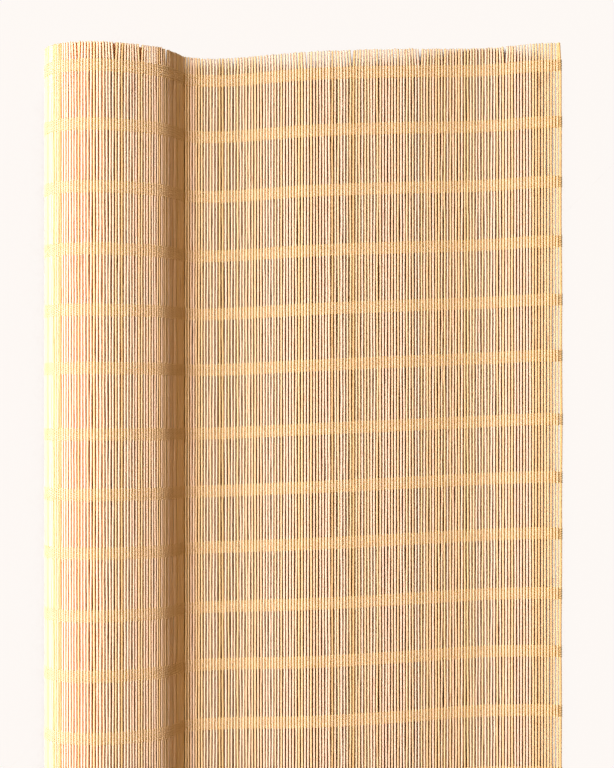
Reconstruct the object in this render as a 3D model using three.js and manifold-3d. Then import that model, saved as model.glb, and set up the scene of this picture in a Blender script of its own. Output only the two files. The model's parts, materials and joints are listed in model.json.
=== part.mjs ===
// Roller blind: a woven matchstick sheet, most of it wound on a spring roller and the rest drawn
// out over a floor. Millimetres, +Z up. X runs from the roll towards the free end of the sheet,
// Y runs along the sticks and the roller.

import * as THREE from 'three';
import Module from 'manifold-3d';
import { mergeVertices } from 'three/addons/utils/BufferGeometryUtils.js';

// ---------------------------------------------------------------- driving dimensions

// Woven sheet
const STICK_LENGTH = 600;
const STICK_DIAMETER = 1.8;
const STICK_PITCH = 2.18;
const SHEET_DROP = 1600;
const WEB_THICKNESS = 0.7;
const STICK_SHOULDER = 0.55;
const STICKS_PER_STRIP = 8;
const STRIP_COUNT = 20;
const STRIP_GAP = 0.4;
const END_STICK_DIAMETER = 2.4;

// How the free sheet lies: it leaves the roll, drops to a crease and runs on in two shallow waves
const CREASE_REACH = 56.8;
const CREASE_HEIGHT = 18.4;
const LEAVING_PULL = 28;
const CREASE_PULL = 32;
const CREASE_SLOPE_DEG = -82;
const FLOOR_WAVES = [[13, 9.4], [28, 6.5], [50, 8.4], [85, 17], [120, 17.3], [170, 10.3], [212, 1.2],
  [230, 1.9], [246, 6.6], [271, 12.5]];
const SKEW_START = 32;
const SKEW = 0.045;

// Wound sheet
const WOUND_THICKNESS = 2;
const WIND_PITCH = 2.3;
const FACETS_PER_TURN = 32;
const LEAVING_FACETS = 18.5;

// Roller tube
const TUBE_DIAMETER = 40;
const TUBE_WALL = 1.5;
const TUBE_RECESS = 6;

// End plugs and bearings
const FLANGE_THICKNESS = 2;
const SPRING_PLUG_DEPTH = 14;
const IDLER_PLUG_DEPTH = 24;
const DISC_LENGTH = 10;
const BEARING_FLOOR = 2.5;

// Spindle with its flat spade
const SPINDLE_DIAMETER = 7;
const SPADE_LENGTH = 14;
const SPADE_WIDTH = 6;
const SPADE_THICKNESS = 2.4;

// Ratchet hub, pawls and their pins
const HUB_RADIUS = 8;
const HUB_THICKNESS = 4;
const NOTCH_COUNT = 4;
const NOTCH_WIDTH = 5.6;
const NOTCH_DEPTH = 2.6;
const PAWL_THICKNESS = 3;
const PAWL_EYE_RADIUS = 2.6;
const PAWL_PIVOT_X = -8.5;
const PAWL_PIVOT_Z = 11.5;
const PAWL_TIP_WIDTH = 2.4;
const PAWL_TIP_DROP = 2.6;
const PAWL_PIN_RADIUS = 1.3;
const PAWL_PIN_HEAD_RADIUS = 2.4;
const PAWL_PIN_HEAD_THICKNESS = 1.2;
const PAWL_PIN_SEAT = 5.5;

// Torsion spring
const SPRING_LENGTH = 180;
const SPRING_RADIUS = 10;
const SPRING_WIRE = 2;
const SPRING_TURNS = 16;
const COLLAR_RADIUS = 12;
const ANCHOR_OFFSET = 8;

// Idler pin and its spring
const IDLER_PIN_DIAMETER = 6;
const IDLER_PIN_OUT = 9.5;
const IDLER_COLLAR_RADIUS = 6.2;
const IDLER_COLLAR_THICKNESS = 2.5;
const IDLER_TAIL_RADIUS = 2.5;
const IDLER_TAIL_LENGTH = 5;
const IDLER_THROAT = 6;
const IDLER_SPRING_RADIUS = 4.4;
const IDLER_SPRING_WIRE = 1.2;
const IDLER_SPRING_TURNS = 5;
const RETAINER_RADIUS = 10;
const RETAINER_THICKNESS = 2;
const PIN_CHAMFER = 0.8;

// Clearance between pieces that fit into, seat on or pass through each other
const CLEARANCE = 0.3;
const ROUND_SEGMENTS = 24;

// ---------------------------------------------------------------- sizes that follow from them

const TUBE_RADIUS = TUBE_DIAMETER / 2;
const TUBE_BORE = TUBE_RADIUS - TUBE_WALL;
const TUBE_END = STICK_LENGTH / 2 - TUBE_RECESS;
const PLUG_RADIUS = TUBE_BORE - CLEARANCE;
const PLUG_FACE = TUBE_END + CLEARANCE + FLANGE_THICKNESS;
const SPINDLE_RADIUS = SPINDLE_DIAMETER / 2;
const SPINDLE_BORE = SPINDLE_RADIUS + CLEARANCE;
const STRIP_LENGTH = STICKS_PER_STRIP * STICK_PITCH;
const FIRST_TURN_RADIUS = TUBE_RADIUS + CLEARANCE + WOUND_THICKNESS / 2;
const WOUND_LENGTH = SHEET_DROP - STRIP_COUNT * STRIP_LENGTH - END_STICK_DIAMETER;
const FACET_ANGLE = 2 * Math.PI / FACETS_PER_TURN;
// The sheet leaves the roll where a whole facet of the roll still faces straight down
const LEAVING_ANGLE = 1.5 * Math.PI - LEAVING_FACETS * FACET_ANGLE;

// Number of turns whose spiral holds the wound length
function turnsFor(length) {
  const firstTurn = 2 * Math.PI * FIRST_TURN_RADIUS;
  return (Math.sqrt(firstTurn ** 2 + 4 * Math.PI * WIND_PITCH * length) - firstTurn) / (2 * Math.PI * WIND_PITCH);
}

const TURNS = turnsFor(WOUND_LENGTH);
const LEAVING_RADIUS = FIRST_TURN_RADIUS + WIND_PITCH * TURNS;

// ---------------------------------------------------------------- materials

function finish(color, roughness, metalness) {
  return new THREE.MeshStandardMaterial({ color, roughness, metalness });
}

const STRAW = [0xe6c892, 0.75, 0];
const HONEY = [0xd69a52, 0.7, 0];
const ALUMINIUM = [0xb9bcc0, 0.35, 1];
const STEEL = [0x9a9da1, 0.4, 1];
const NYLON = [0xe9e7df, 0.5, 0];
const ZINC = [0xa8abad, 0.45, 1];

// ---------------------------------------------------------------- joining and cutting solids

const wasm = await Module();
wasm.setup();

function solidOf(geometry) {
  const bare = geometry.clone();
  bare.deleteAttribute('normal');
  bare.deleteAttribute('uv');
  const merged = mergeVertices(bare);
  const vertProperties = merged.attributes.position.array;
  const triVerts = Uint32Array.from(merged.index.array);
  return new wasm.Manifold(new wasm.Mesh({ numProp: 3, vertProperties, triVerts }));
}

function geometryOf(solid) {
  const { vertProperties, triVerts } = solid.getMesh();
  const geometry = new THREE.BufferGeometry();
  geometry.setAttribute('position', new THREE.BufferAttribute(vertProperties, 3));
  geometry.setIndex(new THREE.BufferAttribute(triVerts, 1));
  geometry.computeVertexNormals();
  return geometry;
}

function joined(first, second) {
  return geometryOf(solidOf(first).add(solidOf(second)));
}

function cutBy(body, tools) {
  return geometryOf(tools.reduce((left, tool) => left.subtract(solidOf(tool)), solidOf(body)));
}

// ---------------------------------------------------------------- shapes along and around Y

function named(name, geometry, look) {
  const mesh = new THREE.Mesh(geometry, finish(...look));
  mesh.name = name;
  return mesh;
}

// An outline in X and Z, carried along Y from one place to another
function prism(shape, from, to) {
  const geometry = new THREE.ExtrudeGeometry(shape, { depth: to - from, bevelEnabled: false });
  geometry.rotateX(Math.PI / 2);
  geometry.translate(0, to, 0);
  return geometry;
}

// A profile of [radius, y] points turned around Y
function turned(profile) {
  return new THREE.LatheGeometry(profile.map(([radius, y]) => new THREE.Vector2(radius, y)), ROUND_SEGMENTS);
}

function rod(radius, from, to) {
  return turned([[0, from], [radius, from], [radius, to], [0, to]]);
}

function ring(bore, radius, from, to) {
  return turned([[bore, from], [radius, from], [radius, to], [bore, to], [bore, from]]);
}

class CoilCurve extends THREE.Curve {
  constructor(radius, from, to, turns) {
    super();
    Object.assign(this, { radius, from, to, turns });
  }

  getPoint(share, target = new THREE.Vector3()) {
    const angle = 2 * Math.PI * this.turns * share;
    const y = THREE.MathUtils.lerp(this.from, this.to, share);
    return target.set(this.radius * Math.cos(angle), y, this.radius * Math.sin(angle));
  }
}

// A coil spring whose wire stays between two places along Y
function coil(radius, wire, from, to, turns) {
  const sides = 5;
  const stepsPerTurn = 10;
  const section = new THREE.Shape();
  for (let i = 0; i < sides; i += 1) {
    const angle = 2 * Math.PI * i / sides;
    section[i ? 'lineTo' : 'moveTo'](wire / 2 * Math.cos(angle), wire / 2 * Math.sin(angle));
  }
  const extrudePath = new CoilCurve(radius, from + wire / 2, to - wire / 2, turns);
  return new THREE.ExtrudeGeometry(section, { steps: turns * stepsPerTurn, extrudePath, bevelEnabled: false });
}

// ---------------------------------------------------------------- wound sheet and tube

// A point of the wound sheet, counted in facets back from where the sheet leaves the roll
function woundPoint(facets, offset) {
  const radius = LEAVING_RADIUS - WIND_PITCH * facets / FACETS_PER_TURN + offset;
  const angle = LEAVING_ANGLE + facets * FACET_ANGLE;
  return new THREE.Vector2(radius * Math.cos(angle), radius * Math.sin(angle));
}

function woundOutline() {
  const facets = TURNS * FACETS_PER_TURN;
  const endGap = STRIP_GAP / 2 / LEAVING_RADIUS / FACET_ANGLE;
  const stations = [endGap];
  for (let i = 1; i < facets; i += 1) {
    stations.push(i);
  }
  stations.push(facets);
  const outside = stations.map((at) => woundPoint(at, WOUND_THICKNESS / 2));
  const inside = stations.map((at) => woundPoint(at, -WOUND_THICKNESS / 2)).reverse();
  return [...outside, ...inside];
}

const outline = woundOutline();
const ROLL_HEIGHT = -Math.min(...outline.map((point) => point.y));

function windings() {
  const sheet = prism(new THREE.Shape(outline), -STICK_LENGTH / 2, STICK_LENGTH / 2);
  return [
    named('wound_sheet', sheet, STRAW),
    named('roller_tube', ring(TUBE_BORE, TUBE_RADIUS, -TUBE_END, TUBE_END), ALUMINIUM),
  ];
}

// ---------------------------------------------------------------- spring end

// Places along Y, from the outer face of the plug inwards
const SPRING_PLUG_INNER = -(TUBE_END + CLEARANCE) + SPRING_PLUG_DEPTH;
const PAWL_START = SPRING_PLUG_INNER + CLEARANCE;
const PAWL_END = PAWL_START + PAWL_THICKNESS;
const HUB_END = PAWL_START + HUB_THICKNESS;
const ANCHOR_START = HUB_END + ANCHOR_OFFSET;
const ANCHOR_END = ANCHOR_START + DISC_LENGTH;
const SPRING_END = ANCHOR_END + CLEARANCE + SPRING_LENGTH;
const COLLAR_START = SPRING_END + CLEARANCE;
const COLLAR_END = COLLAR_START + DISC_LENGTH;
const BEARING_START = COLLAR_END + CLEARANCE;
const BEARING_END = BEARING_START + DISC_LENGTH;
const SPINDLE_TIP = BEARING_END - BEARING_FLOOR - CLEARANCE;

// The two pawl pivots stand opposite each other across the spindle
const PAWL_PIVOTS = [[PAWL_PIVOT_X, PAWL_PIVOT_Z], [-PAWL_PIVOT_X, -PAWL_PIVOT_Z]];

function springPlug() {
  const flangeInner = -(TUBE_END + CLEARANCE);
  const body = turned([
    [SPINDLE_BORE, -PLUG_FACE],
    [TUBE_RADIUS, -PLUG_FACE],
    [TUBE_RADIUS, flangeInner],
    [PLUG_RADIUS, flangeInner],
    [PLUG_RADIUS, SPRING_PLUG_INNER],
    [SPINDLE_BORE, SPRING_PLUG_INNER],
    [SPINDLE_BORE, -PLUG_FACE],
  ]);
  const seats = PAWL_PIVOTS.map(([x, z]) => {
    const seat = rod(PAWL_PIN_RADIUS + CLEARANCE, SPRING_PLUG_INNER - PAWL_PIN_SEAT - CLEARANCE, SPRING_PLUG_INNER + 1);
    return seat.translate(x, 0, z);
  });
  return cutBy(body, seats);
}

function hubShape() {
  const shape = new THREE.Shape();
  const halfNotch = Math.asin(NOTCH_WIDTH / 2 / HUB_RADIUS);
  const floorRadius = HUB_RADIUS - NOTCH_DEPTH;
  const rimSteps = 4;
  const points = [];
  for (let notch = 0; notch < NOTCH_COUNT; notch += 1) {
    const middle = 2 * Math.PI * notch / NOTCH_COUNT;
    const nextMiddle = 2 * Math.PI * (notch + 1) / NOTCH_COUNT;
    const across = new THREE.Vector2(-Math.sin(middle), Math.cos(middle)).multiplyScalar(NOTCH_WIDTH / 2);
    const floor = new THREE.Vector2(Math.cos(middle), Math.sin(middle)).multiplyScalar(floorRadius);
    points.push(floor.clone().sub(across), floor.clone().add(across));
    for (let i = 0; i <= rimSteps; i += 1) {
      const angle = THREE.MathUtils.lerp(middle + halfNotch, nextMiddle - halfNotch, i / rimSteps);
      points.push(new THREE.Vector2(HUB_RADIUS * Math.cos(angle), HUB_RADIUS * Math.sin(angle)));
    }
  }
  shape.setFromPoints(points);
  shape.holes.push(new THREE.Path().absarc(0, 0, SPINDLE_BORE, 0, 2 * Math.PI, true));
  return shape;
}

// A pawl drawn around its pivot, with its tip lifted just clear of the hub
function pawlShape() {
  const tipEnd = -PAWL_PIVOT_X + PAWL_TIP_WIDTH / 2;
  const tipStart = tipEnd - PAWL_TIP_WIDTH;
  const shape = new THREE.Shape();
  shape.absarc(0, 0, PAWL_EYE_RADIUS, Math.PI / 2, 1.5 * Math.PI, false);
  shape.lineTo(tipStart - 0.7, -PAWL_TIP_DROP / 2);
  shape.lineTo(tipStart, -PAWL_TIP_DROP);
  shape.lineTo(tipEnd, -PAWL_TIP_DROP);
  shape.lineTo(tipEnd, -PAWL_TIP_DROP / 4);
  shape.closePath();
  shape.holes.push(new THREE.Path().absarc(0, 0, PAWL_PIN_RADIUS + CLEARANCE, 0, 2 * Math.PI, true));
  return shape;
}

function pawlPin() {
  const shoulder = PAWL_END + CLEARANCE;
  return turned([
    [0, SPRING_PLUG_INNER - PAWL_PIN_SEAT],
    [PAWL_PIN_RADIUS, SPRING_PLUG_INNER - PAWL_PIN_SEAT],
    [PAWL_PIN_RADIUS, shoulder],
    [PAWL_PIN_HEAD_RADIUS, shoulder],
    [PAWL_PIN_HEAD_RADIUS, shoulder + PAWL_PIN_HEAD_THICKNESS],
    [0, shoulder + PAWL_PIN_HEAD_THICKNESS],
  ]);
}

function spindle() {
  const spade = new THREE.BoxGeometry(SPADE_THICKNESS, SPADE_LENGTH + FLANGE_THICKNESS, SPADE_WIDTH);
  spade.translate(0, -PLUG_FACE + (FLANGE_THICKNESS - SPADE_LENGTH) / 2, 0);
  return joined(rod(SPINDLE_RADIUS, -PLUG_FACE, SPINDLE_TIP), spade);
}

function pawlPieces() {
  return PAWL_PIVOTS.flatMap(([x, z], index) => {
    const side = 'ab'[index];
    const pawl = named(`pawl_${side}`, prism(pawlShape(), PAWL_START, PAWL_END), ZINC);
    const pin = named(`pawl_pin_${side}`, pawlPin(), STEEL);
    pawl.position.set(x, 0, z);
    pawl.rotation.y = index * Math.PI;
    pin.position.set(x, 0, z);
    return [pawl, pin];
  });
}

function springEnd() {
  const bearing = turned([
    [SPINDLE_BORE, BEARING_START],
    [PLUG_RADIUS, BEARING_START],
    [PLUG_RADIUS, BEARING_END],
    [0, BEARING_END],
    [0, BEARING_END - BEARING_FLOOR],
    [SPINDLE_BORE, BEARING_END - BEARING_FLOOR],
    [SPINDLE_BORE, BEARING_START],
  ]);
  const spring = coil(SPRING_RADIUS, SPRING_WIRE, ANCHOR_END + CLEARANCE, SPRING_END, SPRING_TURNS);
  return [
    named('spring_end_plug', springPlug(), NYLON),
    named('spindle', spindle(), STEEL),
    named('ratchet_hub', prism(hubShape(), PAWL_START, HUB_END), ZINC),
    ...pawlPieces(),
    named('spring_anchor', ring(SPINDLE_BORE, PLUG_RADIUS, ANCHOR_START, ANCHOR_END), NYLON),
    named('torsion_spring', spring, STEEL),
    named('spring_collar', ring(SPINDLE_BORE, COLLAR_RADIUS, COLLAR_START, COLLAR_END), ZINC),
    named('inner_bearing', bearing, NYLON),
  ];
}

// ---------------------------------------------------------------- idler end

const IDLER_PLUG_INNER = TUBE_END + CLEARANCE - IDLER_PLUG_DEPTH;
const IDLER_THROAT_INNER = PLUG_FACE - IDLER_THROAT;
const IDLER_COLLAR_TOP = IDLER_THROAT_INNER - CLEARANCE;
const IDLER_COLLAR_BASE = IDLER_COLLAR_TOP - IDLER_COLLAR_THICKNESS;
const RETAINER_TOP = IDLER_PLUG_INNER - CLEARANCE;

function idlerPlug() {
  const throat = IDLER_PIN_DIAMETER / 2 + CLEARANCE;
  const chamber = IDLER_COLLAR_RADIUS + CLEARANCE;
  return turned([
    [chamber, IDLER_PLUG_INNER],
    [PLUG_RADIUS, IDLER_PLUG_INNER],
    [PLUG_RADIUS, TUBE_END + CLEARANCE],
    [TUBE_RADIUS, TUBE_END + CLEARANCE],
    [TUBE_RADIUS, PLUG_FACE],
    [throat, PLUG_FACE],
    [throat, IDLER_THROAT_INNER],
    [chamber, IDLER_THROAT_INNER],
    [chamber, IDLER_PLUG_INNER],
  ]);
}

function idlerPin() {
  const radius = IDLER_PIN_DIAMETER / 2;
  const tip = PLUG_FACE + IDLER_PIN_OUT;
  return turned([
    [0, IDLER_COLLAR_BASE - IDLER_TAIL_LENGTH],
    [IDLER_TAIL_RADIUS, IDLER_COLLAR_BASE - IDLER_TAIL_LENGTH],
    [IDLER_TAIL_RADIUS, IDLER_COLLAR_BASE],
    [IDLER_COLLAR_RADIUS, IDLER_COLLAR_BASE],
    [IDLER_COLLAR_RADIUS, IDLER_COLLAR_TOP],
    [radius, IDLER_COLLAR_TOP],
    [radius, tip - PIN_CHAMFER],
    [radius - PIN_CHAMFER, tip],
    [0, tip],
  ]);
}

function idlerEnd() {
  const springTop = IDLER_COLLAR_BASE - CLEARANCE;
  const springBase = RETAINER_TOP + CLEARANCE;
  const spring = coil(IDLER_SPRING_RADIUS, IDLER_SPRING_WIRE, springBase, springTop, IDLER_SPRING_TURNS);
  const retainer = rod(RETAINER_RADIUS, RETAINER_TOP - RETAINER_THICKNESS, RETAINER_TOP);
  return [
    named('idler_end_plug', idlerPlug(), NYLON),
    named('idler_pin', idlerPin(), STEEL),
    named('idler_spring', spring, STEEL),
    named('idler_retainer', retainer, ZINC),
  ];
}

// ---------------------------------------------------------------- free sheet

// The line through the middle of the free sheet, as X and height above the floor
function restingLine() {
  const leaving = woundPoint(0, 0).add(new THREE.Vector2(0, ROLL_HEIGHT));
  const leavingWay = new THREE.Vector2(Math.sin(LEAVING_ANGLE), -Math.cos(LEAVING_ANGLE));
  const creaseSlope = THREE.MathUtils.degToRad(CREASE_SLOPE_DEG);
  const creaseWay = new THREE.Vector2(Math.cos(creaseSlope), Math.sin(creaseSlope));
  const crease = new THREE.Vector2(CREASE_REACH, CREASE_HEIGHT);
  const line = new THREE.CurvePath();
  line.add(new THREE.CubicBezierCurve(
    leaving,
    leaving.clone().addScaledVector(leavingWay, LEAVING_PULL),
    crease.clone().addScaledVector(creaseWay, -CREASE_PULL),
    crease,
  ));
  const waves = FLOOR_WAVES.map(([run, height]) => new THREE.Vector2(CREASE_REACH + run, height));
  line.add(new THREE.SplineCurve([crease, ...waves]));
  return line;
}

// Where the strips meet: equal straight steps along the line, carried straight on past its end
function stripEnds(line) {
  const fineStep = 0.1;
  const fine = line.getSpacedPoints(Math.round(line.getLength() / fineStep));
  const onward = fine.at(-1).clone().sub(fine.at(-2)).setLength(STRIP_LENGTH);
  while (fine.length < 2 || fine.at(-1).distanceTo(fine[0]) < STRIP_COUNT * STRIP_LENGTH) {
    fine.push(fine.at(-1).clone().add(onward));
  }
  const ends = [fine[0]];
  for (const point of fine) {
    const step = point.clone().sub(ends.at(-1));
    if (ends.length <= STRIP_COUNT && step.length() >= STRIP_LENGTH) {
      ends.push(ends.at(-1).clone().add(step.setLength(STRIP_LENGTH)));
    }
  }
  return ends;
}

// Section of one strip: sticks side by side, held together at their sides by the woven thread
function stripShape() {
  const halfStick = STICK_DIAMETER / 2;
  const halfWeb = WEB_THICKNESS / 2;
  const top = [[STRIP_GAP / 2, halfWeb]];
  for (let stick = 0; stick < STICKS_PER_STRIP; stick += 1) {
    const start = stick * STICK_PITCH;
    const end = start + STICK_PITCH;
    const isLast = stick === STICKS_PER_STRIP - 1;
    top.push([start + STICK_SHOULDER, halfStick], [end - STICK_SHOULDER, halfStick]);
    top.push([isLast ? end - STRIP_GAP / 2 : end, halfWeb]);
  }
  const bottom = top.map(([x, z]) => [x, -z]).reverse();
  return new THREE.Shape([...top, ...bottom].map(([x, z]) => new THREE.Vector2(x, z)));
}

function freeSheet() {
  const ends = stripEnds(restingLine());
  const pieces = [];
  for (let i = 0; i < STRIP_COUNT; i += 1) {
    const name = `sheet_strip_${String(i + 1).padStart(2, '0')}`;
    const strip = named(name, prism(stripShape(), -STICK_LENGTH / 2, STICK_LENGTH / 2), STRAW);
    const way = ends[i + 1].clone().sub(ends[i]);
    const beyondStart = ends[i].x + way.x / 2 - CREASE_REACH - SKEW_START;
    strip.position.set(ends[i].x, SKEW * Math.max(0, beyondStart), ends[i].y);
    strip.rotation.y = -way.angle();
    pieces.push(strip);
  }
  const last = pieces.at(-1);
  const endRadius = END_STICK_DIAMETER / 2;
  const endStick = named('end_stick', rod(endRadius, -STICK_LENGTH / 2, STICK_LENGTH / 2), HONEY);
  const reach = STRIP_LENGTH - STRIP_GAP / 2 + CLEARANCE + endRadius;
  const tip = ends.at(-2).clone().add(ends.at(-1).clone().sub(ends.at(-2)).setLength(reach));
  endStick.position.set(tip.x, last.position.y, tip.y);
  return [...pieces, endStick];
}

// ---------------------------------------------------------------- assembly

const roll = new THREE.Group();
roll.position.z = ROLL_HEIGHT;
roll.add(...windings(), ...springEnd(), ...idlerEnd());

const group = new THREE.Group();
group.add(roll, ...freeSheet());

// The origin is the middle of the object's footprint, on the floor
const extent = new THREE.Box3().setFromObject(group, true);
const middle = extent.getCenter(new THREE.Vector3());
group.position.set(-middle.x, -middle.y, -extent.min.z);

export default group;
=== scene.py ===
"""Looks of a natural reed roller blind, part unrolled on a table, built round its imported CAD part."""

import json
import logging
import math
from collections.abc import Sequence
from dataclasses import dataclass, field
from enum import Enum

import bpy
import numpy as np
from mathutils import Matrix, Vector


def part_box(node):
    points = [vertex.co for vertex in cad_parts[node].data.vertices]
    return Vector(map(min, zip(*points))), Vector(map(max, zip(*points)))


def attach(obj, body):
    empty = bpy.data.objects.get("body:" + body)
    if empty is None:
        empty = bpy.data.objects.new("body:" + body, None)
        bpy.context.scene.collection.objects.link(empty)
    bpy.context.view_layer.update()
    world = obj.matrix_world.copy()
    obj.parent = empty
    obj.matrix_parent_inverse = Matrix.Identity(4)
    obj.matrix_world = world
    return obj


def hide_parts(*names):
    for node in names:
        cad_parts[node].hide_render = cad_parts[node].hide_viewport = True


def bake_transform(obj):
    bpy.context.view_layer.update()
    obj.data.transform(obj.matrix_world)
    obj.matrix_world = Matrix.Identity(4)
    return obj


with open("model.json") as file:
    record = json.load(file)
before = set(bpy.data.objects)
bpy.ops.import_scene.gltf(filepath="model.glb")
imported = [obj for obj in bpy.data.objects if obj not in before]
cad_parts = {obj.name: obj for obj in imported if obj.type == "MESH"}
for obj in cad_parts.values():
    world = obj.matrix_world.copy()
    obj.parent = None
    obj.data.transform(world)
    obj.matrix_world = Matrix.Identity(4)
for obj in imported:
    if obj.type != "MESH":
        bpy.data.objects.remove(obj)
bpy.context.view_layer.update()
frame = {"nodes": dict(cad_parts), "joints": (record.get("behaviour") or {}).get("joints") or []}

log = logging.getLogger("roller_blind")

MM = 0.001
STICK_PITCH = 2.18 * MM
STICK_DIAMETER = 1.8 * MM
STICKS_PER_STRIP = 8
STRIP_LENGTH = STICKS_PER_STRIP * STICK_PITCH
SHEET_WIDTH = 0.600
SHEET_DROP = 1.600
WIND_PITCH = 2.3 * MM
THREAD_WIDTH = 0.62 * MM
THREAD_THICKNESS = 0.42 * MM
THREADS_PER_BAND = 14
BAND_WIDTH = 8.6 * MM
BAND_MARGIN = 16.3 * MM
BAND_STEPS = tuple(step * MM for step in (40.8, 43.3, 43.1, 42.2, 40.5, 45.9, 41.9, 40.8, 43.3, 41.7, 43.1, 45, 45))
BAND_COUNT = len(BAND_STEPS) + 1
GRAIN_STEP = 13.7 * MM  # how far apart two neighbouring sticks lie in the pattern of the grain


def linear(code: str) -> tuple[float, float, float, float]:
    """Turns an sRGB hex colour to linear light.

    Args:
        code: The colour as "#rrggbb".

    Returns:
        The linear red, green, blue and an alpha of 1.
    """
    channels = [int(code[i : i + 2], 16) / 255 for i in (1, 3, 5)]
    light = [c / 12.92 if c <= 0.04045 else ((c + 0.055) / 1.055) ** 2.4 for c in channels]
    return light[0], light[1], light[2], 1.0


def add_node(tree: bpy.types.NodeTree, kind: str, inputs: dict | None = None, **settings: object) -> bpy.types.Node:
    """Adds one shader node with its settings, and links what feeds it.

    Args:
        tree: The node tree of the material or world.
        kind: The node's type, without its ShaderNode prefix.
        inputs: A constant or an output socket for each input, by name or number.
        settings: The node's own properties.

    Returns:
        The new node.
    """
    node = tree.nodes.new("ShaderNode" + kind)
    for name, value in settings.items():
        setattr(node, name, value)
    for key, value in (inputs or {}).items():
        if isinstance(value, bpy.types.NodeSocket):
            tree.links.new(value, node.inputs[key])
        else:
            node.inputs[key].default_value = value
    return node


def new_tree(name: str) -> tuple[bpy.types.Material, bpy.types.NodeTree]:
    """Makes an empty node material.

    Args:
        name: The material's name.

    Returns:
        The material and its node tree.
    """
    material = bpy.data.materials.new(name)
    material.use_nodes = True
    material.node_tree.nodes.clear()
    return material, material.node_tree


def mix(tree: bpy.types.NodeTree, factor: object, first: object, second: object) -> bpy.types.NodeSocket:
    """Mixes two colours.

    Args:
        tree: The node tree.
        factor: How much of the second, a number or a socket.
        first: The first colour or socket.
        second: The second colour or socket.

    Returns:
        The mixed colour's socket.
    """
    return add_node(tree, "Mix", {0: factor, 6: first, 7: second}, data_type="RGBA").outputs[2]


def spread(tree: bpy.types.NodeTree, value: object, low: float, high: float, top: float = 1.0) -> bpy.types.NodeSocket:
    """Stretches the range low to high over 0 to top, smoothly.

    Args:
        tree: The node tree.
        value: The socket to stretch.
        low: Where the result is 0.
        high: Where the result is top.
        top: The greatest result.

    Returns:
        The stretched value's socket.
    """
    inputs = {"Value": value, "From Min": low, "From Max": high, "To Min": 0.0, "To Max": top}
    return add_node(tree, "MapRange", inputs, interpolation_type="SMOOTHSTEP").outputs[0]


@dataclass(frozen=True)
class SplitReed:
    """Split reed, peeled and sun dried. Straw-coloured, satin where the skin was, darker down its sides, partly its own
    duller flanks and mostly painted shade, with long streaks of fibre and a few brown lengths where the skin was left
    on."""

    name: str = "split_reed"
    pale: str = "#fbe7d2"
    straw: str = "#f4dfb4"
    tan: str = "#dfc188"
    brown: str = "#9a6c34"
    # painted shade: side, side_grey and side_red colour each stick's lower flanks towards the gaps, partly also the
    # reed's own duller flanks
    side: str = "#aa7a18"
    side_grey: str = "#644c16"
    side_red: str = "#84420c"
    side_painted_bounce: str = "#ffb02a"  # painted bounce light: on the roll the gaps are coloured as if lit by light the turn below throws back
    painted_shade_share: float = 0.9
    gloss: float = 0.1
    roughness: float = 0.52
    streak_mm: float = 0.9  # a reed's fibres are about 0.1 mm apart, which is too fine to show, so they are drawn wider
    streak_length_mm: float = 38.0
    patches_per_m: float = 520.0  # a patch of skin left on is about 2 mm wide and 32 mm long
    patch_stretch: tuple[float, float, float] = (1.0, 0.06, 1.0)
    stains_per_m: float = 420.0  # a stain is about 7 mm wide, more than a reed, and 48 mm long
    stain_stretch: tuple[float, float, float] = (0.35, 0.05, 0.35)

    def build(self) -> bpy.types.Material:
        """Makes the material.

        Returns:
            The reed material, which reads each stick's own tone and grain, its depth for painted shade and its painted
            bounce.
        """
        material, tree = new_tree(self.name)
        grain = add_node(tree, "Attribute", attribute_name="grain").outputs["Vector"]
        tone, depth, backed = (
            add_node(tree, "Attribute", attribute_name=name).outputs["Fac"] for name in ("tone", "depth", "backed")
        )
        ratio = self.streak_mm / self.streak_length_mm
        along = add_node(tree, "Mapping", {"Vector": grain, "Scale": (1.0, ratio, 1.0)}).outputs[0]
        scale = 1000.0 / self.streak_mm
        streak = add_node(tree, "TexNoise", {"Vector": along, "Scale": scale, "Detail": 3.0, "Roughness": 0.6})
        place = add_node(tree, "Mapping", {"Vector": grain, "Location": (3.1, 1.7, 0.4), "Scale": self.patch_stretch})
        patch = add_node(tree, "TexNoise", {"Vector": place.outputs[0], "Scale": self.patches_per_m, "Detail": 2.0})
        place = add_node(tree, "Mapping", {"Vector": grain, "Location": (0.7, 2.3, 5.0), "Scale": self.stain_stretch})
        stain = add_node(tree, "TexNoise", {"Vector": place.outputs[0], "Scale": self.stains_per_m, "Detail": 2.0})
        body = mix(tree, spread(tree, tone, 0.0, 0.9), linear(self.pale), linear(self.straw))
        body = mix(tree, spread(tree, tone, 0.86, 1.0, 0.6), body, linear(self.tan))
        body = mix(tree, spread(tree, streak.outputs["Fac"], 0.52, 0.8, 0.45), body, linear(self.tan))
        body = mix(tree, spread(tree, patch.outputs["Fac"], 0.66, 0.8, 0.5), body, linear(self.brown))
        side = mix(tree, spread(tree, stain.outputs["Fac"], 0.5, 0.62), linear(self.side), linear(self.side_grey))
        side = mix(tree, spread(tree, patch.outputs["Fac"], 0.56, 0.7), side, linear(self.side_red))
        # painted bounce light: on the roll the side colour gives way to a warm glow
        side = mix(tree, spread(tree, backed, 0.0, 1.0), side, linear(self.side_painted_bounce))
        # painted shade: the further down a stick's flank, the more of the side colour
        body = mix(tree, spread(tree, depth, 0.16, 0.46, self.painted_shade_share), body, side)
        bump = add_node(tree, "Bump", {"Height": streak.outputs["Fac"], "Strength": 0.5, "Distance": 0.12 * MM})
        shader = add_node(tree, "BsdfPrincipled", {
            "Base Color": body, "Roughness": self.roughness, "IOR": 1.5, "Specular IOR Level": self.gloss,
            "Normal": bump.outputs[0],
        })
        add_node(tree, "OutputMaterial", {"Surface": shader.outputs[0]})
        return material


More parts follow.
